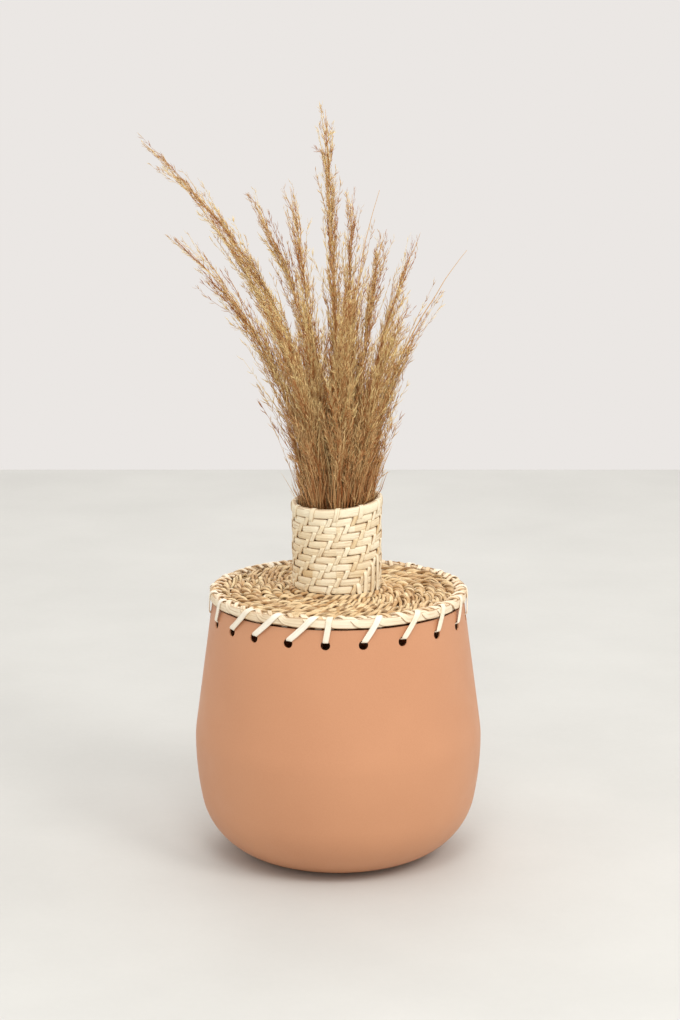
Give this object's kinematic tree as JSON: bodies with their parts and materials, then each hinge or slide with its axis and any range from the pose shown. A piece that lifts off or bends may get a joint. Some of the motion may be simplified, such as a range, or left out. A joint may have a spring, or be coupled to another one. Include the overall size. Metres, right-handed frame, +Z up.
{
  "type": "flower vase",
  "caption": "Round metal vase closed by a cane disc and woven cane neck laced through holes in its rim, holding a lift-out bunch of dried reed plumes.",
  "frame": {"origin": "middle of the bowl's flat foot, on the surface that it stands on", "axes": "+Z up along the axis of the bowl and neck; -Y is the front, with +X to the right as seen from the front"},
  "size_m": [0.2937, 0.25, 0.6461],
  "materials": {
    "painted_metal_body": "matte",
    "pale_cane": "satin",
    "twined_cane": "satin",
    "lacing_cane": "satin",
    "dried_stem": "matte",
    "dried_plume": "matte",
    "twine": "matte"
  },
  "bodies": {
    "vase": {"vase_body": "painted_metal_body", "cane_stakes": "twined_cane", "disc_row_1": "twined_cane", "disc_row_2": "twined_cane", "disc_row_3": "twined_cane", "disc_row_4": "twined_cane", "disc_row_5": "twined_cane", "disc_row_6": "twined_cane", "disc_row_7": "twined_cane", "disc_border": "pale_cane", "neck_row_01": "pale_cane", "neck_row_02": "pale_cane", "neck_row_03": "pale_cane", "neck_row_04": "pale_cane", "neck_row_05": "pale_cane", "neck_row_06": "pale_cane", "neck_row_07": "pale_cane", "neck_row_08": "pale_cane", "neck_row_09": "pale_cane", "neck_row_10": "pale_cane", "neck_border": "pale_cane", "lacing": "lacing_cane"},
    "bunch": {"stem_01": "dried_stem", "stem_02": "dried_stem", "stem_03": "dried_stem", "stem_04": "dried_stem", "stem_05": "dried_stem", "stem_06": "dried_stem", "stem_07": "dried_stem", "stem_08": "dried_stem", "stem_09": "dried_stem", "stem_10": "dried_stem", "stem_11": "dried_stem", "stem_12": "dried_stem", "stem_13": "dried_stem", "stem_14": "dried_stem", "plume_01": "dried_plume", "plume_02": "dried_plume", "plume_03": "dried_plume", "plume_04": "dried_plume", "plume_05": "dried_plume", "plume_06": "dried_plume", "plume_07": "dried_plume", "plume_08": "dried_plume", "plume_09": "dried_plume", "plume_10": "dried_plume", "plume_11": "dried_plume", "plume_12": "dried_plume", "plume_13": "dried_plume", "plume_14": "dried_plume", "bunch_tie": "twine"}
  },
  "joints": [
    {"name": "bunch_lift", "type": "slide", "parent": "vase", "child": "bunch", "axis": [0, 0, 1], "range_m": [0, 0.33]}
  ]
}
